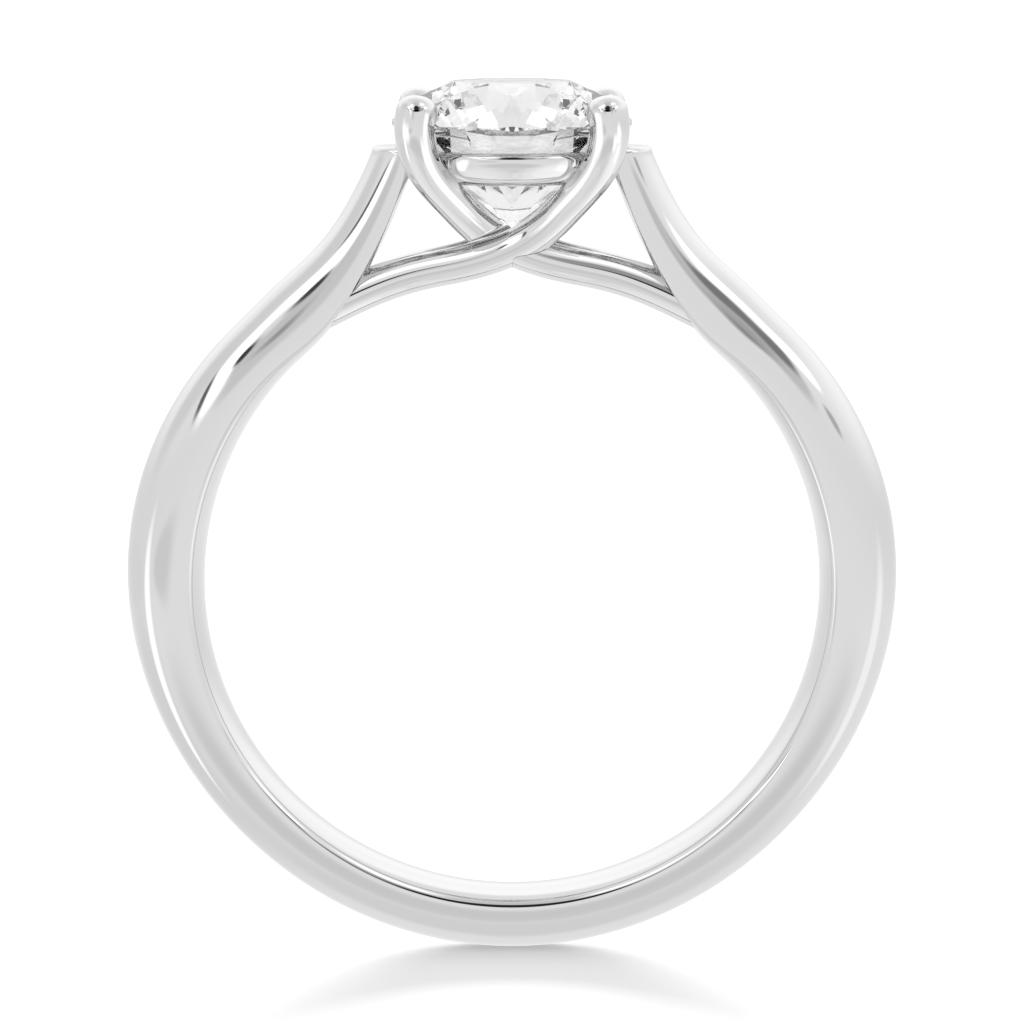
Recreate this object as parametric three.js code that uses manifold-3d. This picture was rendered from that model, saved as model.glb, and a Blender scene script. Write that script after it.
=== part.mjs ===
// Cathedral solitaire engagement ring with a crossover (trellis) four-claw head.
// Millimetres. Origin at the centre of the finger hole, Y along the finger,
// +Z towards the stone, X across the ring.
import * as THREE from 'three';
import { mergeVertices } from 'three/addons/utils/BufferGeometryUtils.js';
import Module from 'manifold-3d';

const wasm = await Module();
wasm.setup();

// ---- driving dimensions ----

const HOLE_R = 8.255;            // finger hole at the crest of its comfort-fit dome
const SOLDER_GAP = 0.03;         // joint left between pieces that are soldered together

const SHANK = {
  bottomThickness: 1.665,        // hole crest to palm side
  swell: 0.43,                   // extra thickness at the sides of the finger
  swellPeak: 100,                // degrees up from the palm side where it is thickest
  halfWidth: 1.25,               // half the band's width along the finger
  armHalfWidth: 1.08,            // the same at the top of the shoulders
  innerDome: 0.45,               // depth of the comfort-fit dome
  armInnerDome: 0.14,            // its depth on the shoulders
  outerPower: 2.5,               // superellipse power of the outside
  armTop: 11.70,                 // height of the flat end of each shoulder
  stationStep: 15,               // degrees between stations of the round part
  roundEnd: 135,                 // degrees up from the palm side where the round part ends
  steps: 46,                     // sections lofted along each half
  outerSteps: 14,                // points on the outside of a section
  innerSteps: 8,                 // points on its comfort-fit dome
};

// Shoulder stations, right side, above the round part: inner crest and outer crest in X and Z.
const SHOULDER = [
  { inner: [5.14, 6.46], outer: [6.44, 7.87] },
  { inner: [4.58, 7.17], outer: [5.78, 8.46] },
  { inner: [3.98, 8.12], outer: [5.13, 9.10] },
  { inner: [3.38, 9.24], outer: [4.53, 9.94] },
  { inner: [2.85, 10.52], outer: [3.94, 11.07] },
  { inner: [2.60, 11.18], outer: [3.68, 11.69] },
  { inner: [2.42, 11.80], outer: [3.50, 12.25] },
];

// Front wire from its claw at the upper right, across the middle, to the left shoulder.
const WIRE_ROUTE = [
  [2.50, -2.19, 12.69],
  [2.57, -2.225, 12.36],
  [2.51, -2.20, 11.80],
  [2.29, -2.04, 11.20],
  [1.97, -1.84, 10.74],
  [1.60, -1.64, 10.35],
  [0.95, -1.34, 9.67],
  [0.42, -1.18, 9.27],
  [-0.18, -1.06, 8.97],
  [-0.85, -0.96, 8.73],
  [-1.50, -0.87, 8.57],
  [-2.43, -0.76, 8.38],
  [-3.20, -0.70, 8.15],
  [-4.20, -0.68, 7.73],
  [-5.10, -0.68, 7.28],
];
const WIRE = {
  clawRadius: 0.56,              // wire radius at the claw
  radius: 0.485,                 // wire radius elsewhere
  clawPart: 0.16,                // share of the route over which the claw narrows
  domeHeight: 0.46,              // rounded top of the claw
  domePower: 2.2,                // superellipse power of that top
  crossing: [0, 9.06],           // X and Z where the two front wires meet
  crossingSlope: 24.5,           // rise of the passing wire there, degrees
  clawCut: 0.65,                 // wire axis to the cut end of the short claw wire
  railCut: 0.53,                 // wire axis to the cut end of the rail
  steps: 44,
  sides: 14,
  domeSteps: 4,
};

const COLLAR = {
  topZ: 11.64,
  bottomZ: 10.74,
  topInner: 2.53,
  bottomInner: 1.86,
  // outer profile from the bottom edge to the top edge: radius and height above the bottom
  outer: [[2.12, 0.02], [2.24, 0.08], [2.41, 0.24], [2.56, 0.46], [2.65, 0.68], [2.68, 0.84]],
  topChamfer: 0.08,
  sides: 56,
};

const STONE = {
  radius: 3.2,
  girdleBottom: 12.25,
  girdleTop: 12.39,
  crownAngle: 34,
  pavilionAngle: 40.8,
  table: 0.52,                   // table corner radius over girdle radius
  starLength: 0.5,               // star facets, over the way from table to girdle
  lowerHalfLength: 0.77,         // lower halves, over the way from girdle to culet
  sides: 64,                     // facets of the bruted girdle
};

const WHITE_GOLD = { color: 0xd8d8dc, roughness: 0.08, metalness: 1 };
const DIAMOND = { color: 0xf4f6fa, roughness: 0.0, metalness: 0 };

// ---- tools ----

const radians = THREE.MathUtils.degToRad;
const MERGE_TOLERANCE = 1e-5;

// Closed solid from a geometry whose shared corners are merged.
function toSolid(geometry) {
  const bare = geometry.clone();
  bare.deleteAttribute('normal');
  bare.deleteAttribute('uv');
  const merged = mergeVertices(bare, MERGE_TOLERANCE);
  return new wasm.Manifold(new wasm.Mesh({
    numProp: 3,
    vertProperties: new Float32Array(merged.attributes.position.array),
    triVerts: new Uint32Array(merged.index.array),
  }));
}

function toGeometry(solid) {
  const mesh = solid.getMesh();
  const geometry = new THREE.BufferGeometry();
  const corners = new Float32Array(mesh.vertProperties);
  geometry.setAttribute('position', new THREE.BufferAttribute(corners, 3));
  geometry.setIndex(new THREE.BufferAttribute(new Uint32Array(mesh.triVerts), 1));
  geometry.computeVertexNormals();
  return geometry;
}

// Skin over rings of equal point count. Each ring turns anticlockwise about the direction of travel.
function loft(rings, startPoint, endPoint) {
  const count = rings[0].length;
  const points = [...rings.flat(), startPoint, endPoint];
  const start = points.length - 2;
  const end = points.length - 1;
  const lastRing = (rings.length - 1) * count;
  const faces = [];
  for (let j = 0; j < count; j++) {
    const next = (j + 1) % count;
    faces.push(start, next, j);
    faces.push(end, lastRing + j, lastRing + next);
    for (let i = 0; i < rings.length - 1; i++) {
      const near = i * count;
      const far = near + count;
      faces.push(near + j, near + next, far + next);
      faces.push(near + j, far + next, far + j);
    }
  }
  const geometry = new THREE.BufferGeometry().setFromPoints(points);
  geometry.setIndex(faces);
  return geometry;
}

function average(points) {
  const sum = new THREE.Vector3();
  points.forEach((point) => sum.add(point));
  return sum.divideScalar(points.length);
}

// Quarter of a superellipse: how far across and how far up at an angle in radians.
function superellipse(angle, power) {
  const exponent = 2 / power;
  return [
    Math.pow(Math.max(Math.cos(angle), 0), exponent),
    Math.sign(angle) * Math.pow(Math.abs(Math.sin(angle)), exponent),
  ];
}

// ---- shank: round band that rises into two shoulders ----

// Section outline as [distance from the inner crest, distance along the finger].
function shankSection(thickness, halfWidth, dome) {
  const outline = [];
  for (let i = 0; i < SHANK.outerSteps; i++) {
    const angle = radians(-90 + 180 * i / SHANK.outerSteps);
    const [reach, side] = superellipse(angle, SHANK.outerPower);
    outline.push([dome + (thickness - dome) * reach, halfWidth * side]);
  }
  for (let i = 0; i < SHANK.innerSteps; i++) {
    const angle = radians(90 + 180 * i / SHANK.innerSteps);
    outline.push([dome + dome * Math.cos(angle), halfWidth * Math.sin(angle)]);
  }
  return outline;
}

function roundStation(degreesUp) {
  const angle = radians(degreesUp - 90);
  const swell = Math.pow(Math.sin(radians(90 * degreesUp / SHANK.swellPeak)), 5);
  const outerR = HOLE_R + SHANK.bottomThickness + SHANK.swell * swell;
  return {
    inner: [HOLE_R * Math.cos(angle), HOLE_R * Math.sin(angle)],
    outer: [outerR * Math.cos(angle), outerR * Math.sin(angle)],
  };
}

// Curve through one edge of the stations, 'inner' or 'outer'.
function edgeCurve(stations, edge) {
  const points = stations.map((station) => new THREE.Vector3(station[edge][0], 0, station[edge][1]));
  return new THREE.CatmullRomCurve3(points);
}

function shank(grow) {
  const stations = [];
  for (let degreesUp = 0; degreesUp <= SHANK.roundEnd; degreesUp += SHANK.stationStep) {
    stations.push(roundStation(degreesUp));
  }
  const lastRound = stations.length - 1;
  stations.push(...SHOULDER);
  const last = stations.length - 1;
  const innerCurve = edgeCurve(stations, 'inner');
  const outerCurve = edgeCurve(stations, 'outer');
  const rightHalf = [];
  for (let i = 0; i <= SHANK.steps; i++) {
    const t = i / SHANK.steps;
    const narrowing = THREE.MathUtils.smoothstep(t * last, lastRound - 1, last);
    const flattening = THREE.MathUtils.smoothstep(t * last, lastRound - 1, lastRound + 3);
    const inner = innerCurve.getPoint(t);
    const outer = outerCurve.getPoint(t);
    const outward = outer.clone().sub(inner).normalize();
    const thickness = outer.distanceTo(inner) + 2 * grow;
    const halfWidth = THREE.MathUtils.lerp(SHANK.halfWidth, SHANK.armHalfWidth, narrowing) + grow;
    const dome = THREE.MathUtils.lerp(SHANK.innerDome, SHANK.armInnerDome, flattening);
    rightHalf.push(shankSection(thickness, halfWidth, dome).map(([reach, side]) => {
      const point = inner.clone().addScaledVector(outward, reach - grow);
      point.y = -side;
      return point;
    }));
  }
  // The loft runs down the right half and up the left half, which is its mirror image.
  const leftHalf = rightHalf.slice(1).map((ring) => ring.map((p) => new THREE.Vector3(-p.x, p.y, p.z)));
  const rings = [...rightHalf.reverse(), ...leftHalf];
  const whole = toSolid(loft(rings, average(rings[0]), average(rings[rings.length - 1])));
  return whole.trimByPlane([0, 0, -1], -(SHANK.armTop + grow));
}

// ---- wires of the head ----

function wire(grow, mirrorX, mirrorY) {
  const route = new THREE.CatmullRomCurve3(WIRE_ROUTE.map((p) => new THREE.Vector3(...p)));
  const frames = route.computeFrenetFrames(WIRE.steps, false);
  const rings = [];
  const addRing = (centre, index, radius) => {
    const ring = [];
    for (let j = 0; j < WIRE.sides; j++) {
      const angle = 2 * Math.PI * j / WIRE.sides;
      const point = centre.clone();
      point.addScaledVector(frames.normals[index], radius * Math.cos(angle));
      point.addScaledVector(frames.binormals[index], radius * Math.sin(angle));
      ring.push(point);
    }
    rings.push(ring);
  };
  const tip = route.getPointAt(0);
  const domeHeight = WIRE.domeHeight + grow;
  for (let k = WIRE.domeSteps - 1; k > 0; k--) {
    const [across, up] = superellipse(radians(90 * k / WIRE.domeSteps), WIRE.domePower);
    const centre = tip.clone().addScaledVector(frames.tangents[0], -domeHeight * up);
    addRing(centre, 0, (WIRE.clawRadius + grow) * across);
  }
  for (let i = 0; i <= WIRE.steps; i++) {
    const u = i / WIRE.steps;
    const narrowing = THREE.MathUtils.smoothstep(u, 0, WIRE.clawPart);
    const radius = THREE.MathUtils.lerp(WIRE.clawRadius, WIRE.radius, narrowing);
    addRing(route.getPointAt(u), i, radius + grow);
  }
  const top = tip.clone().addScaledVector(frames.tangents[0], -domeHeight);
  const solid = toSolid(loft(rings, top, route.getPointAt(1)));
  const facedX = mirrorX ? solid.mirror([1, 0, 0]) : solid;
  return mirrorY ? facedX.mirror([0, 1, 0]) : facedX;
}

// Part of the mirrored wire on one side of the passing wire: side 1 keeps the claw, -1 the rail.
function cutWire(solid, side, distance) {
  const slope = radians(WIRE.crossingSlope);
  const normal = [-side * Math.sin(slope), 0, side * Math.cos(slope)];
  const offset = normal[0] * WIRE.crossing[0] + normal[2] * WIRE.crossing[1] + distance;
  return solid.trimByPlane(normal, offset);
}

// ---- collar under the stone ----

function collar() {
  const outerR = COLLAR.outer[COLLAR.outer.length - 1][0];
  const outline = [
    new THREE.Vector2(COLLAR.bottomInner, COLLAR.bottomZ),
    ...COLLAR.outer.map(([radius, height]) => new THREE.Vector2(radius, COLLAR.bottomZ + height)),
    new THREE.Vector2(outerR - COLLAR.topChamfer, COLLAR.topZ),
    new THREE.Vector2(COLLAR.topInner, COLLAR.topZ),
    new THREE.Vector2(COLLAR.bottomInner, COLLAR.bottomZ),
  ];
  return toSolid(new THREE.LatheGeometry(outline, COLLAR.sides).rotateX(Math.PI / 2));
}

// Round space that the collar takes, which the ends of the shoulders are hollowed to.
function collarRoom() {
  const radius = COLLAR.outer[COLLAR.outer.length - 1][0] + SOLDER_GAP;
  const height = 2 * (COLLAR.topZ - COLLAR.bottomZ);
  return toSolid(new THREE.CylinderGeometry(radius, radius, height, COLLAR.sides)
    .rotateX(Math.PI / 2)
    .translate(0, 0, (COLLAR.topZ + COLLAR.bottomZ) / 2));
}

// ---- round brilliant, cut plane by plane from a round blank ----

function brilliant(grow) {
  const radius = STONE.radius;
  const crown = Math.tan(radians(STONE.crownAngle));
  const pavilion = Math.tan(radians(STONE.pavilionAngle));
  const eighth = radians(45);
  const tableCorner = STONE.table * radius;
  const tableEdge = tableCorner * Math.cos(eighth / 2);
  const tableZ = STONE.girdleTop + (radius - tableCorner) * crown;
  const starR = tableEdge + STONE.starLength * (radius - tableEdge);
  const starZ = STONE.girdleTop + (radius - starR * Math.cos(eighth / 2)) * crown;
  const lowerR = radius * (1 - STONE.lowerHalfLength);
  const lowerZ = STONE.girdleBottom - (radius - lowerR * Math.cos(eighth / 2)) * pavilion;
  const at = (r, angle, z) => new THREE.Vector3(r * Math.cos(angle), r * Math.sin(angle), z);
  const centre = new THREE.Vector3(0, 0, STONE.girdleBottom);

  const depth = 2 * radius;
  const blankR = radius + grow;
  let stone = toSolid(new THREE.CylinderGeometry(blankR, blankR, 2 * depth, STONE.sides)
    .rotateX(Math.PI / 2)
    .translate(0, 0, STONE.girdleBottom));
  const cut = (a, b, c) => {
    const plane = new THREE.Plane().setFromCoplanarPoints(a, b, c);
    if (plane.distanceToPoint(centre) < 0) {
      plane.negate();
    }
    stone = stone.trimByPlane(plane.normal.toArray(), -plane.constant - grow);
  };
  stone = stone.trimByPlane([0, 0, -1], -tableZ - grow);
  for (let k = 0; k < 8; k++) {
    const star = k * eighth;
    const kite = star + eighth / 2;
    const before = star - eighth / 2;
    // kite on the crown and main on the pavilion
    cut(at(radius, kite, STONE.girdleTop), at(starR, star, starZ), at(starR, star + eighth, starZ));
    cut(at(radius, kite, STONE.girdleBottom), at(lowerR, star, lowerZ), at(lowerR, star + eighth, lowerZ));
    // star beside the table
    cut(at(tableCorner, before, tableZ), at(tableCorner, kite, tableZ), at(starR, star, starZ));
    // two upper halves and two lower halves
    for (const side of [before, kite]) {
      const [above, below] = [STONE.girdleTop, STONE.girdleBottom];
      cut(at(starR, star, starZ), at(radius, star, above), at(radius, side, above));
      cut(at(lowerR, star, lowerZ), at(radius, star, below), at(radius, side, below));
    }
  }
  return stone;
}

// ---- assembly ----

const ring = new THREE.Group();
function add(name, solid, look) {
  const mesh = new THREE.Mesh(toGeometry(solid), new THREE.MeshStandardMaterial(look));
  mesh.name = name;
  ring.add(mesh);
}

const stoneRoom = brilliant(SOLDER_GAP);
const shankRoom = shank(SOLDER_GAP);

let fittedCollar = collar();
for (const mirrorX of [false, true]) {
  for (const mirrorY of [false, true]) {
    fittedCollar = fittedCollar.subtract(wire(SOLDER_GAP, mirrorX, mirrorY));
  }
}

add('shank', shank(0).subtract(collarRoom()), WHITE_GOLD);
add('gallery_collar', fittedCollar, WHITE_GOLD);
for (const [end, mirrorY] of [['front', false], ['back', true]]) {
  const passing = wire(0, false, mirrorY).subtract(stoneRoom).subtract(shankRoom);
  const crossed = wire(0, true, mirrorY).subtract(stoneRoom).subtract(shankRoom);
  add(`crossover_wire_${end}`, passing, WHITE_GOLD);
  add(`short_claw_${end}`, cutWire(crossed, 1, WIRE.clawCut), WHITE_GOLD);
  add(`short_rail_${end}`, cutWire(crossed, -1, WIRE.railCut), WHITE_GOLD);
}
add('diamond', brilliant(0), DIAMOND);

export default ring;
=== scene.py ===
"""Cathedral solitaire engagement ring with a crossover four-claw head.

Fine surfaces, finishes and a plain studio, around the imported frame. Lengths in this file are
millimetres in the row frame, and become metres when a mesh is made.
"""

import math

import bmesh
import bpy
import numpy as np
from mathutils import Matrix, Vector

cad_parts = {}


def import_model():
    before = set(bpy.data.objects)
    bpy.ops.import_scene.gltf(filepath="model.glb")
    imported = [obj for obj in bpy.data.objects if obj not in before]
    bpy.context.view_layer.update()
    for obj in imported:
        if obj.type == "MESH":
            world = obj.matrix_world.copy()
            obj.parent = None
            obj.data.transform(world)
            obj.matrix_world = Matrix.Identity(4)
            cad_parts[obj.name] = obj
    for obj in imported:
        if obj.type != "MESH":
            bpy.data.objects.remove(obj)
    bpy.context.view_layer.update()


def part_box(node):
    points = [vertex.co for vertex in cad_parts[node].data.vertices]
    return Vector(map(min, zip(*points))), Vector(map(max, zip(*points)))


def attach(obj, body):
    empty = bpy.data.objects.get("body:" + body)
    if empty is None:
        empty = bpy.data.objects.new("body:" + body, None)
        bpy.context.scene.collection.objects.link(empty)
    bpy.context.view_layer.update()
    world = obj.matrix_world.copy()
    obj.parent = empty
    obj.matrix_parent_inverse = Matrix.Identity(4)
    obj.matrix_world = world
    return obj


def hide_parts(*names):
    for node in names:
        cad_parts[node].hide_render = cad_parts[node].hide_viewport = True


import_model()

MM = 0.001


def box_mm(node):
    """Lowest and highest corner of a CAD node, in millimetres."""
    low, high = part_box(node)
    return np.array(low) / MM, np.array(high) / MM


shank_low, shank_high = box_mm("shank")
collar_low, collar_high = box_mm("gallery_collar")
stone_low, stone_high = box_mm("diamond")

# ---- driving dimensions ----

HOLE_R = 8.255                 # finger hole at the crest of its comfort-fit dome

PALM_R = -shank_low[2]         # outside of the band at the palm side
SWELL = 0.43                   # extra thickness at the sides of the finger
SWELL_PEAK = 100               # degrees up from the palm side where it is thickest
SWELL_POWER = 5                # how closely it keeps to the sides
ROUND_END = 135                # degrees up from the palm side where the round part ends
HALF_WIDTH = shank_high[1]     # half the band's width along the finger
ARM_HALF_WIDTH = 1.08          # the same at the top of the shoulders
INNER_DOME = 0.45              # depth of the comfort-fit dome
ARM_INNER_DOME = 0.14          # its depth on the shoulders
OUTER_POWER = 2.5              # superellipse power of the outside
ARM_TOP = shank_high[2]        # height of the flat end of each shoulder
ARM_ROUNDING = 0.16            # rounded rim of that end
DOME_FADE = (-15, 18)          # degrees from ROUND_END between which the dome flattens

# Shoulder stations, right side, above the round part: inner crest and outer crest in X and Z.
SHOULDER_INNER = [
    (5.14, 6.46), (4.58, 7.17), (3.98, 8.12), (3.38, 9.24), (2.85, 10.52), (2.60, 11.18), (2.42, 11.80),
]
SHOULDER_OUTER = [
    (6.44, 7.87), (5.78, 8.46), (5.13, 9.10), (4.53, 9.94), (3.94, 11.07), (3.68, 11.69), (3.50, 12.25),
]

# Front wire from its claw at the upper right, across the middle, to the left shoulder.
WIRE_ROUTE = [
    (2.50, -2.19, 12.69), (2.57, -2.225, 12.36), (2.51, -2.20, 11.80), (2.29, -2.04, 11.20),
    (1.97, -1.84, 10.74), (1.60, -1.64, 10.35), (0.95, -1.34, 9.67), (0.42, -1.18, 9.27),
    (-0.18, -1.06, 8.97), (-0.85, -0.96, 8.73), (-1.50, -0.87, 8.57), (-2.43, -0.76, 8.38),
    (-3.20, -0.70, 8.15), (-4.20, -0.68, 7.73), (-5.10, -0.68, 7.28),
]
CLAW_RADIUS = 0.56             # wire radius at the claw
WIRE_RADIUS = 0.485            # wire radius elsewhere
CLAW_LENGTH = 2.1              # stretch over which the claw narrows
CLAW_DOME = 0.46               # rounded top of the claw
CLAW_DOME_POWER = 2.2          # superellipse power of that top
CLAW_DOME_SPAN = (88, 4)       # degrees up the dome of its first and its last ring
CROSSING = (0, 0, 9.06)        # where the two front wires meet, in X and Z
CROSSING_SLOPE = 24.5          # rise of the passing wire there, degrees
CLAW_CUT = 0.65                # wire axis to the cut end of the short claw wire
RAIL_CUT = 0.2                 # wire axis to where the rail is cut before it is coped to the wire
COPE_GAP = 0.008               # room between the coped rail and the passing wire
CUT_ROUNDING = 0.05            # rounded rim of a cut end
CUT_CLEARANCE = 0.5            # how far past its cut the rail's wire is kept before it is trimmed

COLLAR_FOOT_R = 1.90           # outside of the collar's lower rim
COLLAR_MOUTH_R = 2.53          # inside of its upper rim
COLLAR_LIP = 0.17              # rounding of its upper outside edge
COLLAR_POWER = 2.2             # superellipse power of its bulge
COLLAR_BEVEL = 0.04            # bevel of its inner edges
COLLAR_SEAT_DEPTH = 0.3        # how far below the collar the shoulders are hollowed

STONE_R = stone_high[0]
TABLE_Z = stone_high[2]
TABLE = 0.52                   # table corner radius over girdle radius
CROWN_ANGLE = 34
GIRDLE_HEIGHT = 0.14
PAVILION_ANGLE = 40.8
STAR_LENGTH = 0.5              # star facets, over the way from table to girdle
LOWER_HALF_LENGTH = 0.77       # lower halves, over the way from girdle to culet
GIRDLE_SIDES = 96
SEAT_GAP = 0.012               # room cut for the stone in each claw

STEP = 0.1                     # spacing of the rings along the shank
WIRE_STEP = 0.06               # and along the wires
ROUND_STEP = 1.5               # degrees between the points that lay out the round part
SHANK_SOFTENING = 4            # rings over which the shank's edges are averaged
WIRE_SOFTENING = 5             # and the wires' routes
OUTSIDE_SIDES = 96             # sides of the shank's section, outside
INSIDE_SIDES = 48              # and inside
WIRE_SIDES = 64
CLAW_DOME_RINGS = 14
COLLAR_SIDES = 192
COLLAR_LIP_STEPS = 12
COLLAR_BULGE_STEPS = 40

SHANK_SHARP = 50               # edges are sharp where faces meet at more than so many degrees
WIRE_SHARP = 40
COLLAR_SHARP = 25


# ---- curves and sections ----

def spline(points, spacing):
    """Curve with even curvature changes through the points, sampled every so many millimetres."""
    points = np.array(points, float)
    chords = np.linalg.norm(np.diff(points, axis=0), axis=1)
    at = np.concatenate([[0], np.cumsum(chords)])
    count = len(points)
    system = np.eye(count)
    right = np.zeros_like(points)
    for i in range(1, count - 1):
        before, after = chords[i - 1], chords[i]
        system[i, i - 1:i + 2] = before, 2 * (before + after), after
        slopes = (points[i + 1] - points[i]) / after - (points[i] - points[i - 1]) / before
        right[i] = 6 * slopes
    bend = np.linalg.solve(system, right)
    samples = np.linspace(0, at[-1], int(at[-1] / spacing) + 1)
    i = np.clip(np.searchsorted(at, samples) - 1, 0, count - 2)
    width = chords[i][:, None]
    a = (at[i + 1] - samples)[:, None] / width
    b = 1 - a
    return (a * points[i] + b * points[i + 1]
            + ((a ** 3 - a) * bend[i] + (b ** 3 - b) * bend[i + 1]) * width ** 2 / 6)


def soften(values, spread):
    """Values along a line, averaged over neighbours with a bell curve. Both ends stay where they are."""
    reach = int(3 * spread) + 1
    weights = np.exp(-0.5 * (np.arange(-reach, reach + 1) / spread) ** 2)
    weights /= weights.sum()
    before = 2 * values[0] - values[reach:0:-1]
    after = 2 * values[-1] - values[-2:-reach - 2:-1]
    longer = np.concatenate([before, values, after])
    return sum(w * longer[k:k + len(values)] for k, w in enumerate(weights))


def smoothstep(x, start, end):
    t = np.clip((x - start) / (end - start), 0, 1)
    return t * t * (3 - 2 * t)


def superellipse(angle, power):
    """How far across and how far up a superellipse is at an angle in radians."""
    across = np.maximum(np.cos(angle), 0) ** (2 / power)
    up = np.sign(np.sin(angle)) * np.abs(np.sin(angle)) ** (2 / power)
    return across, up


def unit(vectors):
    return vectors / np.linalg.norm(vectors, axis=-1, keepdims=True)


# ---- rings of points, and meshes from them ----

def trim(rings, point, normal, rounding, turn=10, rim=8):
    """Rings cut off at a plane, keeping what lies behind its normal, with a rounded rim and a flat end.

    The last rings before the cut turn gradually into the plane. Returns the rings and the end's middle.
    """
    point, normal = np.array(point, float), unit(np.array(normal, float))
    base = point - normal * rounding
    height = (rings - base) @ normal
    crossing = np.argmax(height > 0, axis=0)
    sides = np.arange(rings.shape[1])
    low, high = height[crossing - 1, sides], height[crossing, sides]
    ends = (crossing - 1) + (-low) / (high - low)
    start = max(int(ends.min()) - turn, 0)
    made = [rings[:start]]
    for share in np.linspace(0, 1, turn + 1):
        along = start + (ends - start) * share
        i = np.minimum(along.astype(int), len(rings) - 2)
        part = (along - i)[:, None]
        made.append(((1 - part) * rings[i, sides] + part * rings[i + 1, sides])[None])
    last = made[-1][0]
    middle = last.mean(axis=0)
    inward = unit(middle - last)
    for angle in np.linspace(0, math.pi / 2, rim + 1)[1:]:
        ring = last + inward * rounding * (1 - math.cos(angle)) + normal * rounding * math.sin(angle)
        made.append(ring[None])
    # smaller rings fill the flat end
    middle = made[-1][0].mean(axis=0)
    for share in (0.75, 0.5, 0.25):
        made.append((middle + (made[-1][0] - middle) * share)[None])
    return np.concatenate(made), middle


def make_object(name, points_mm, faces):
    mesh = bpy.data.meshes.new(name)
    mesh.from_pydata([tuple(p) for p in np.asarray(points_mm) * MM], [], faces)
    mesh.validate()
    made = bmesh.new()
    made.from_mesh(mesh)
    bmesh.ops.recalc_face_normals(made, faces=made.faces)
    made.to_mesh(mesh)
    made.free()
    obj = bpy.data.objects.new(name, mesh)
    bpy.context.scene.collection.objects.link(obj)
    return obj


def skin(name, rings, first_point, last_point):
    """Closed mesh over rings of equal point count, with a point closing each end."""
    count, sides = rings.shape[:2]
    points = np.concatenate([rings.reshape(-1, 3), [first_point, last_point]])
    first, last = count * sides, count * sides + 1
    faces = []
    for j in range(sides):
        k = (j + 1) % sides
        faces.append((first, k, j))
        faces.append((last, (count - 1) * sides + j, (count - 1) * sides + k))
        for i in range(count - 1):
            faces.append((i * sides + j, i * sides + k, (i + 1) * sides + k, (i + 1) * sides + j))
    return make_object(name, points, faces)


def smooth(obj, sharp_over):
    """Smooth shading, with edges sharp where faces meet at more than so many degrees."""
    obj.data.shade_smooth()
    obj.data.set_sharp_from_angle(angle=math.radians(sharp_over))


def subtract(obj, cutter):
    """Cuts the cutter out of obj."""
    cut = obj.modifiers.new("cut", "BOOLEAN")
    cut.operation = "DIFFERENCE"
    cut.solver = "EXACT"
    cut.object = cutter
    bpy.context.view_layer.update()
    graph = bpy.context.evaluated_depsgraph_get()
    mesh = bpy.data.meshes.new_from_object(obj.evaluated_get(graph))
    obj.modifiers.clear()
    obj.data = mesh


# ---- shank ----

def shank_edges():
    """Inner and outer crest of the right half, from the palm side up to beyond the shoulder's end."""
    up = np.radians(np.arange(0, ROUND_END + 1, ROUND_STEP))
    outer_r = PALM_R + SWELL * np.sin(np.minimum(up * 90 / SWELL_PEAK, math.pi)) ** SWELL_POWER
    direction = np.stack([np.sin(up), -np.cos(up)], axis=1)
    inner = np.concatenate([HOLE_R * direction, SHOULDER_INNER])
    outer = np.concatenate([outer_r[:, None] * direction, SHOULDER_OUTER])
    # both edges are sampled at the same stations, spaced evenly along the line between them
    both = spline(np.concatenate([inner, outer], axis=1), STEP * math.sqrt(2))
    mirrored = both[:0:-1] * [-1, 1, -1, 1]
    softened = soften(np.concatenate([mirrored, both]), SHANK_SOFTENING)
    return softened[len(mirrored):]


def shank_section(thickness, half_width, dome):
    """Outline as distance out from the inner crest and distance along the finger."""
    turn = np.radians(np.linspace(-90, 90, OUTSIDE_SIDES + 1)[:-1])
    reach, side = superellipse(turn, OUTER_POWER)
    outside = np.stack([dome + (thickness - dome) * reach, half_width * side], axis=1)
    turn = np.radians(np.linspace(90, 270, INSIDE_SIDES + 1)[:-1])
    inside = np.stack([dome + dome * np.cos(turn), half_width * np.sin(turn)], axis=1)
    return np.concatenate([outside, inside])


def shank():
    edges = shank_edges()
    inner, outer = edges[:, :2], edges[:, 2:]
    outward = unit(outer - inner)
    up = np.degrees(np.unwrap(np.arctan2(inner[:, 0], -inner[:, 1])))
    narrowing = smoothstep(np.linalg.norm(inner, axis=1), HOLE_R, np.linalg.norm(SHOULDER_INNER[-1]))
    flattening = smoothstep(up, ROUND_END + DOME_FADE[0], ROUND_END + DOME_FADE[1])
    right = []
    for i in range(len(inner)):
        thickness = np.linalg.norm(outer[i] - inner[i])
        half_width = HALF_WIDTH + (ARM_HALF_WIDTH - HALF_WIDTH) * narrowing[i]
        dome = INNER_DOME + (ARM_INNER_DOME - INNER_DOME) * flattening[i]
        section = shank_section(thickness, half_width, dome)
        flat = inner[i] + outward[i] * section[:, :1]
        right.append(np.stack([flat[:, 0], -section[:, 1], flat[:, 1]], axis=1))
    right, top_middle = trim(np.array(right), (0, 0, ARM_TOP), (0, 0, 1), ARM_ROUNDING)
    # the ends of the shoulders are hollowed round the collar
    seat_r = (collar_high[0] + COLLAR_MOUTH_R) / 2
    radial = np.hypot(right[..., 0], right[..., 1])
    inside = (right[..., 2] > collar_low[2] - COLLAR_SEAT_DEPTH) & (radial < seat_r)
    grow = np.where(inside, seat_r / radial, 1)
    right[..., 0] *= grow
    left = right[1:] * [-1, 1, 1]
    rings = np.concatenate([right[::-1], left])
    piece = skin("shank_band", rings, top_middle, top_middle * [-1, 1, 1])
    smooth(piece, SHANK_SHARP)
    return piece


# ---- wires of the head ----

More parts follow.
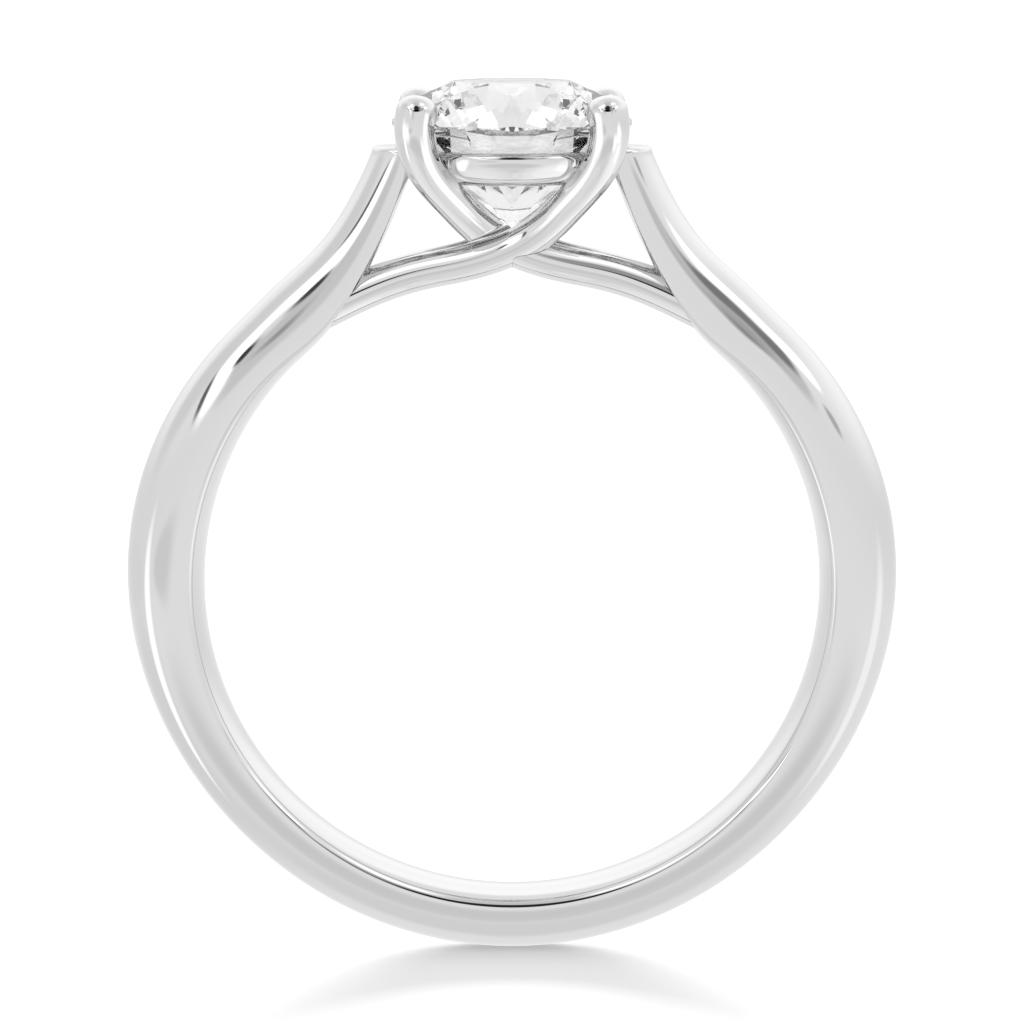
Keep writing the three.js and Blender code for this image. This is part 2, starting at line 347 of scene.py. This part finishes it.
def wire_rings(mirror_x, mirror_y, grow=0):
    """Rings of one whole wire from the top of its claw to its end in the shoulder."""
    route = soften(spline(WIRE_ROUTE, WIRE_STEP), WIRE_SOFTENING)
    along = np.concatenate([[0], np.cumsum(np.linalg.norm(np.diff(route, axis=0), axis=1))])
    tangents = unit(np.gradient(route, axis=0))
    side = unit(np.cross(tangents[0], [0, 1, 0]))
    turn = np.linspace(0, 2 * math.pi, WIRE_SIDES + 1)[:-1][:, None]
    made = []
    for i, tangent in enumerate(tangents):
        side = unit(side - tangent * (side @ tangent))
        other = np.cross(tangent, side)
        spokes = side * np.cos(turn) + other * np.sin(turn)
        if i == 0:
            for lift in np.radians(np.linspace(*CLAW_DOME_SPAN, CLAW_DOME_RINGS)):
                across, up = superellipse(lift, CLAW_DOME_POWER)
                made.append(route[0] - tangent * CLAW_DOME * up + CLAW_RADIUS * across * spokes)
        narrowing = smoothstep(along[i], 0, CLAW_LENGTH)
        radius = CLAW_RADIUS + (WIRE_RADIUS - CLAW_RADIUS) * narrowing + grow
        made.append(route[i] + radius * spokes)
    flip = np.array([-1 if mirror_x else 1, -1 if mirror_y else 1, 1])
    top = (route[0] - tangents[0] * CLAW_DOME) * flip
    return np.array(made) * flip, top, route[-1] * flip


def crossing_plane(side, distance):
    """Point and outward normal of the cut beside the passing wire: side 1 is the claw's, -1 the rail's."""
    slope = math.radians(CROSSING_SLOPE)
    across = side * np.array([-math.sin(slope), 0, math.cos(slope)])
    return np.array(CROSSING) + across * distance, -across


def passing_wire(end, mirror_y, grow=0):
    """The whole wire, made thicker all round by grow."""
    rings, top, foot = wire_rings(False, mirror_y, grow)
    return skin(f"passing_wire_{end}", rings, top, foot)


def short_claw(end, mirror_y):
    """The other claw, down to its cut end above the passing wire."""
    rings, top, _ = wire_rings(True, mirror_y)
    rings, cut_middle = trim(rings, *crossing_plane(1, CLAW_CUT), CUT_ROUNDING)
    return skin(f"stub_claw_{end}", rings, top, cut_middle)


def short_rail(end, mirror_y):
    """The other rail, up from its shoulder to its end, which is coped to the passing wire."""
    rings, _, foot = wire_rings(True, mirror_y)
    point, normal = crossing_plane(-1, RAIL_CUT)
    from_foot = rings[::-1]
    past_cut = (from_foot @ normal).min(axis=1) > point @ normal + CUT_CLEARANCE
    keep = int(np.argmax(past_cut))
    from_foot, cut_middle = trim(from_foot[:keep], point, normal, CUT_ROUNDING)
    rail = skin(f"stub_rail_{end}", from_foot, foot, cut_middle)
    cope = passing_wire(end, mirror_y, COPE_GAP)
    subtract(rail, cope)
    bpy.data.objects.remove(cope)
    return rail


# ---- collar ----

def collar():
    """Short tapered tube: the profile runs up the inside and down the outside."""
    bottom, top = collar_low[2], collar_high[2]
    outer_r = collar_high[0]
    profile = [
        (COLLAR_FOOT_R - COLLAR_BEVEL, bottom + COLLAR_BEVEL),
        (COLLAR_MOUTH_R, top - COLLAR_BEVEL),
        (COLLAR_MOUTH_R + COLLAR_BEVEL, top),
    ]
    for angle in np.radians(np.linspace(90, 0, COLLAR_LIP_STEPS)):
        profile.append((outer_r + COLLAR_LIP * (math.cos(angle) - 1),
                        top + COLLAR_LIP * (math.sin(angle) - 1)))
    # the outside bulges from the lip down to the lower rim
    for angle in np.radians(np.linspace(0, 90, COLLAR_BULGE_STEPS))[1:]:
        across, down = superellipse(angle, COLLAR_POWER)
        profile.append((COLLAR_FOOT_R + (outer_r - COLLAR_FOOT_R) * across,
                        top - COLLAR_LIP - (top - COLLAR_LIP - bottom) * down))
    profile = np.array(profile)
    radii, heights = profile[:, 0], profile[:, 1]
    turn = np.linspace(0, 2 * math.pi, COLLAR_SIDES + 1)[:-1]
    rings = np.stack([np.stack([radii * math.cos(t), radii * math.sin(t), heights], axis=1) for t in turn])
    count, sides = rings.shape[:2]
    faces = []
    for i in range(count):
        for j in range(sides):
            k, n = (j + 1) % sides, (i + 1) % count
            faces.append((i * sides + j, i * sides + k, n * sides + k, n * sides + j))
    piece = make_object("collar_ring", rings.reshape(-1, 3), faces)
    smooth(piece, COLLAR_SHARP)
    return piece


# ---- stone ----

def brilliant(name, grow):
    """Round brilliant, cut plane by plane from a round blank. grow moves every face outward."""
    eighth = math.radians(45)
    crown = math.tan(math.radians(CROWN_ANGLE))
    pavilion = math.tan(math.radians(PAVILION_ANGLE))
    table_corner = TABLE * STONE_R
    girdle_top = TABLE_Z - (STONE_R - table_corner) * crown
    girdle_bottom = girdle_top - GIRDLE_HEIGHT
    table_edge = table_corner * math.cos(eighth / 2)
    star_r = table_edge + STAR_LENGTH * (STONE_R - table_edge)
    star_z = girdle_top + (STONE_R - star_r * math.cos(eighth / 2)) * crown
    lower_r = STONE_R * (1 - LOWER_HALF_LENGTH)
    lower_z = girdle_bottom - (STONE_R - lower_r * math.cos(eighth / 2)) * pavilion
    centre = Vector((0, 0, girdle_bottom))

    def at(radius, angle, z):
        return Vector((radius * math.cos(angle), radius * math.sin(angle), z))

    stone = bmesh.new()
    bmesh.ops.create_cone(stone, cap_ends=True, segments=GIRDLE_SIDES, radius1=STONE_R + grow,
                          radius2=STONE_R + grow, depth=4 * STONE_R)
    bmesh.ops.translate(stone, verts=stone.verts, vec=centre)

    def cut(a, b, c):
        normal = (b - a).cross(c - a).normalized()
        if normal.dot(centre - a) > 0:
            normal.negate()
        whole = [*stone.verts, *stone.edges, *stone.faces]
        bmesh.ops.bisect_plane(stone, geom=whole, dist=1e-6, plane_co=a + normal * grow, plane_no=normal,
                               clear_outer=True)
        bmesh.ops.holes_fill(stone, edges=[e for e in stone.edges if e.is_boundary], sides=0)

    cut(at(1, 0, TABLE_Z), at(1, 1, TABLE_Z), at(1, 2, TABLE_Z))
    for k in range(8):
        star = k * eighth
        kite, before = star + eighth / 2, star - eighth / 2
        star_point, lower_point = at(star_r, star, star_z), at(lower_r, star, lower_z)
        cut(at(STONE_R, kite, girdle_top), star_point, at(star_r, star + eighth, star_z))
        cut(at(STONE_R, kite, girdle_bottom), lower_point, at(lower_r, star + eighth, lower_z))
        cut(at(table_corner, before, TABLE_Z), at(table_corner, kite, TABLE_Z), star_point)
        for side in (before, kite):
            cut(star_point, at(STONE_R, star, girdle_top), at(STONE_R, side, girdle_top))
            cut(lower_point, at(STONE_R, star, girdle_bottom), at(STONE_R, side, girdle_bottom))
    bmesh.ops.scale(stone, verts=stone.verts, vec=(MM, MM, MM))
    bmesh.ops.recalc_face_normals(stone, faces=stone.faces)
    mesh = bpy.data.meshes.new(name)
    stone.to_mesh(mesh)
    stone.free()
    obj = bpy.data.objects.new(name, mesh)
    bpy.context.scene.collection.objects.link(obj)
    return obj


# ---- finishes ----

GOLD_GREY = 0.72               # grey level of the polished metal
GLOSS_SCALE = 400              # unevenness of its gloss: size of the patches
GLOSS_DETAIL = 4
GLOSS_ROUGHNESS = (0.02, 0.07)
STONE_GREY = 0.965             # grey level of the stone's glass
STONE_IOR = 2.42
FLOOR_GREY = 0.92
FLOOR_ROUGHNESS = 0.9


def grey(level):
    return level, level, level, 1


def new_material(name):
    material = bpy.data.materials.new(name)
    material.use_nodes = True
    nodes = material.node_tree.nodes
    return material, nodes, material.node_tree.links, nodes["Principled BSDF"]


def white_gold():
    """Mirror polish with faintly softer and sharper patches."""
    material, nodes, links, shader = new_material("white_gold_polish")
    shader.inputs["Base Color"].default_value = grey(GOLD_GREY)
    shader.inputs["Metallic"].default_value = 1
    place = nodes.new("ShaderNodeTexCoord")
    patches = nodes.new("ShaderNodeTexNoise")
    patches.inputs["Scale"].default_value = GLOSS_SCALE
    patches.inputs["Detail"].default_value = GLOSS_DETAIL
    links.new(place.outputs["Object"], patches.inputs["Vector"])
    spread = nodes.new("ShaderNodeMapRange")
    spread.inputs["To Min"].default_value = GLOSS_ROUGHNESS[0]
    spread.inputs["To Max"].default_value = GLOSS_ROUGHNESS[1]
    links.new(patches.outputs["Fac"], spread.inputs["Value"])
    links.new(spread.outputs["Result"], shader.inputs["Roughness"])
    return material


def diamond():
    """Clear glass that bends light as much as diamond does."""
    material, nodes, links, shader = new_material("diamond_clear")
    nodes.remove(shader)
    glass = nodes.new("ShaderNodeBsdfGlass")
    glass.inputs["Color"].default_value = grey(STONE_GREY)
    glass.inputs["IOR"].default_value = STONE_IOR
    glass.inputs["Roughness"].default_value = 0
    links.new(glass.outputs["BSDF"], nodes["Material Output"].inputs["Surface"])
    return material


# ---- assembly ----

gold = white_gold()
seat_cutter = brilliant("seat_cutter", SEAT_GAP)
# the pieces that the head's own fill lights reach
head = bpy.data.collections.new("head")
wires = bpy.data.collections.new("wires")


def place(piece, slot, material, *nodes):
    piece.data.materials.clear()
    piece.data.materials.append(material)
    if nodes[0] not in ("shank", "diamond"):
        head.objects.link(piece)
        if nodes[0] != "gallery_collar":
            wires.objects.link(piece)
    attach(piece, "root")
    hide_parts(*nodes)


place(shank(), "white_gold", gold, "shank")
place(collar(), "white_gold", gold, "gallery_collar")
WIRE_MAKERS = (
    (passing_wire, "crossover_wire"),
    (short_claw, "short_claw"),
    (short_rail, "short_rail"),
)
for end, mirror_y in (("front", False), ("back", True)):
    for make, node in WIRE_MAKERS:
        piece = make(end, mirror_y)
        if make is not short_rail:
            subtract(piece, seat_cutter)
        smooth(piece, WIRE_SHARP)
        place(piece, "white_gold", gold, f"{node}_{end}")
bpy.data.objects.remove(seat_cutter)
place(brilliant("brilliant_stone", 0), "diamond", diamond(), "diamond")

# ---- studio ----

FLOOR_REACH = 2.0              # metres from the middle to the floor's edges


def floor():
    """Plain floor, level with the palm side of the ring."""
    mesh = bpy.data.meshes.new("studio_floor")
    level = shank_low[2] * MM
    corners = [(x * FLOOR_REACH, y * FLOOR_REACH, level) for x, y in ((-1, -1), (1, -1), (1, 1), (-1, 1))]
    mesh.from_pydata(corners, [], [(0, 1, 2, 3)])
    obj = bpy.data.objects.new("studio_floor", mesh)
    bpy.context.scene.collection.objects.link(obj)
    material, *_, shader = new_material("pale_floor")
    shader.inputs["Base Color"].default_value = grey(FLOOR_GREY)
    shader.inputs["Roughness"].default_value = FLOOR_ROUGHNESS
    shader.inputs["Specular IOR Level"].default_value = 0
    mesh.materials.append(material)
    # the metal and the stone see the studio's own lower half instead
    obj.visible_glossy = False
    obj.visible_transmission = False


# Soft patches of the studio round the ring. Each has the way it lies (degrees right of the camera's
# side, degrees up), its half width and half height, its tilt, how soft its edge is, and how bright it is.
# The patches behind the ring are measured from its far side. A later patch covers an earlier one.
STUDIO_LEVEL = 1.0
BACKDROP_LEVEL = 1.0           # what the camera itself sees
FRONT_PATCHES = [
    # overhead
    ((0, 86), (180, 12), 0, 0.5, 0.85),
    ((-2, 64), (44, 14), 0, 0.4, 0.72),
    # walls
    ((-82, 30), (24, 18), 0, 0.5, 0.84),
    ((-100, -7), (38, 5), 0, 0.5, 0.90),
    ((-95, -34), (50, 22), 0, 0.5, 0.88),
    # table in front of the ring, and a bright reflector at each hand
    ((-28, -6), (13, 3), 0, 0.4, 0.80),
    ((0, -22), (34, 10), 0, 0.4, 0.78),
    ((0, -56), (75, 26), 0, 0.5, 0.86),
    ((-62, -20), (7.5, 22), -24, 0.3, 1.4),
    ((68, -22), (12, 18), 10, 0.4, 1.2),
    # strip lights left, right and above
    ((-34, 47), (12, 14), 0, 0.4, 1.6),
    ((52, 58), (22, 10), 0, 0.4, 1.6),
    ((-41, 22.5), (19, 5), -45, 0.25, 1.7),
    ((-50, 32), (10, 7), -45, 0.3, 1.6),
    ((58, 32), (12, 7.5), 20, 0.25, 1.65),
    # dark frames beside them
    ((-26, 17), (8, 4), -40, 0.4, 0.72),
    ((-18, 9), (8, 4), -30, 0.4, 0.76),
    ((-49, 20.2), (12, 1.6), -38, 0.4, 0.15),
    ((-34, 22), (5, 2.0), -40, 0.4, 0.05),
    ((30, 17), (11, 5), 40, 0.4, 0.70),
    ((37, 25), (9, 4), 40, 0.4, 0.25),
    ((46, 14.5), (5, 2.4), 20, 0.4, 0.55),
    # the camera and the dark card over it
    ((20, 30), (10, 16), 0, 0.3, 0.4),
    ((0, 32), (16, 19), 0, 0.2, 0.03),
    ((0, 15), (20, 5.5), 0, 0.25, 0.0),
]
BACK_PATCHES = [
    ((0, 2), (180, 12), 0, 0.6, 0.92),
    ((18, 27), (84, 17), 0, 0.6, 1.24),
    ((0, 46), (60, 10), 0, 0.6, 1.3),
]
AMBIENT_LEVEL = 0.95           # even part of what lights the floor
SUN_STRENGTH = 6.6             # the part from behind, for the soft shadow in front
SUN_SPREAD = 20                # degrees across
SUN_HEIGHT = 14                # degrees up


def world():
    """Even studio light, with soft patches in what the metal and the stone reflect."""
    studio = bpy.data.worlds.new("studio")
    bpy.context.scene.world = studio
    studio.use_nodes = True
    studio.cycles.sampling_method = "NONE"
    nodes, links = studio.node_tree.nodes, studio.node_tree.links

    def feed(socket, value):
        """Sets a socket to a number, or links another node's output to it."""
        if isinstance(value, (int, float)):
            socket.default_value = value
        else:
            links.new(value, socket)

    def math_node(operation, *values):
        made = nodes.new("ShaderNodeMath")
        made.operation = operation
        for socket, value in zip(made.inputs, values):
            feed(socket, value)
        return made.outputs[0]

    def mix(share, a, b):
        made = nodes.new("ShaderNodeMix")
        feed(made.inputs["Factor"], share)
        feed(made.inputs["A"], a)
        feed(made.inputs["B"], b)
        return made.outputs["Result"]

    direction = nodes.new("ShaderNodeTexCoord")
    split = nodes.new("ShaderNodeSeparateXYZ")
    links.new(direction.outputs["Generated"], split.inputs[0])
    x, y, z = split.outputs
    height = math_node("DEGREES", math_node("ARCSINE", z))

    def around(from_y):
        """Degrees right of the front or of the back, and degrees up, as one vector."""
        join = nodes.new("ShaderNodeCombineXYZ")
        links.new(math_node("DEGREES", math_node("ARCTAN2", x, from_y)), join.inputs[0])
        links.new(height, join.inputs[1])
        return join.outputs[0]

    level = STUDIO_LEVEL
    toward_camera = math_node("MULTIPLY", y, -1)
    for where, patches in ((around(y), BACK_PATCHES), (around(toward_camera), FRONT_PATCHES)):
        for middle, half, tilt, softness, brightness in patches:
            turned = nodes.new("ShaderNodeMapping")
            turned.vector_type = "TEXTURE"
            turned.inputs["Location"].default_value = (*middle, 0)
            turned.inputs["Rotation"].default_value = (0, 0, math.radians(tilt))
            turned.inputs["Scale"].default_value = (*half, 1)
            links.new(where, turned.inputs["Vector"])
            distance = nodes.new("ShaderNodeVectorMath")
            distance.operation = "LENGTH"
            links.new(turned.outputs[0], distance.inputs[0])
            edge = nodes.new("ShaderNodeMapRange")
            edge.interpolation_type = "SMOOTHSTEP"
            edge.inputs["From Min"].default_value = 1 - softness
            edge.inputs["From Max"].default_value = 1 + softness
            edge.inputs["To Min"].default_value = 1
            edge.inputs["To Max"].default_value = 0
            links.new(distance.outputs["Value"], edge.inputs["Value"])
            level = mix(edge.outputs["Result"], level, brightness)

    path = nodes.new("ShaderNodeLightPath")
    level = mix(path.outputs["Is Diffuse Ray"], level, AMBIENT_LEVEL)
    level = mix(path.outputs["Is Camera Ray"], level, BACKDROP_LEVEL)
    links.new(level, nodes["Background"].inputs["Color"])


def key_light():
    """Broad soft light from behind, a little above the floor."""
    data = bpy.data.lights.new("key_light", "SUN")
    data.energy = SUN_STRENGTH
    data.angle = math.radians(SUN_SPREAD)
    obj = bpy.data.objects.new("key_light", data)
    obj.rotation_euler = (math.radians(SUN_HEIGHT - 90), 0, 0)
    # the metal and the stone reflect the studio's patches instead
    obj.visible_glossy = False
    obj.visible_transmission = False
    bpy.context.scene.collection.objects.link(obj)


# Soft discs of light that only the head's metal reflects. In the photo it is brighter than the shank's
# metal that faces the same way. Each has the pieces it reaches, its direction (degrees right of the
# camera's side, degrees up), its width in degrees and how much it adds.
HEAD_FILLS = [
    (head, (62, -50), 54, 0.32),
    (head, (-50, -56), 48, 0.20),
    (wires, (38, -20), 18, 0.50),
    (wires, (56, -8), 20, 0.50),
    (wires, (-43, -9), 20, 0.45),
    (wires, (-63, -5), 20, 0.45),
]
FILL_STEPS = (1.3, 1.0, 0.7)   # each disc is made of these widths, for a softer edge


def head_fills():
    for receivers, (azimuth, elevation), width, brightness in HEAD_FILLS:
        turn, rise = math.radians(azimuth), math.radians(elevation)
        sideways = math.cos(rise)
        source = Vector((math.sin(turn) * sideways, -math.cos(turn) * sideways, math.sin(rise)))
        for step in FILL_STEPS:
            data = bpy.data.lights.new("head_fill", "SUN")
            data.angle = math.radians(width * step)
            data.energy = brightness / len(FILL_STEPS) * math.pi * math.sin(data.angle / 2) ** 2
            obj = bpy.data.objects.new("head_fill", data)
            obj.rotation_euler = source.to_track_quat("Z", "Y").to_euler()
            obj.light_linking.receiver_collection = receivers
            bpy.context.scene.collection.objects.link(obj)


SENSOR_WIDTH = 36
LENS = 211.35
CAMERA_AT = (0, -160, 21.6)
CAMERA_AIM = (0, 0, 1.87)
# enough bounces for the light inside the stone, which leaves some of its facets dark
MAX_BOUNCES = 28
STONE_BOUNCES = 24
METAL_BOUNCES = 12


def camera():
    data = bpy.data.cameras.new("camera")
    data.sensor_width = SENSOR_WIDTH
    data.lens = LENS
    data.clip_start = MM
    obj = bpy.data.objects.new("camera", data)
    obj.location = Vector(CAMERA_AT) * MM
    aim = Vector(CAMERA_AIM) * MM
    obj.rotation_euler = (aim - obj.location).to_track_quat("-Z", "Y").to_euler()
    bpy.context.scene.collection.objects.link(obj)
    bpy.context.scene.camera = obj


floor()
world()
key_light()
head_fills()
camera()

scene = bpy.context.scene
scene.view_settings.view_transform = "Standard"
scene.cycles.max_bounces = MAX_BOUNCES
scene.cycles.transmission_bounces = STONE_BOUNCES
scene.cycles.glossy_bounces = METAL_BOUNCES
scene.cycles.caustics_reflective = True
scene.cycles.caustics_refractive = True
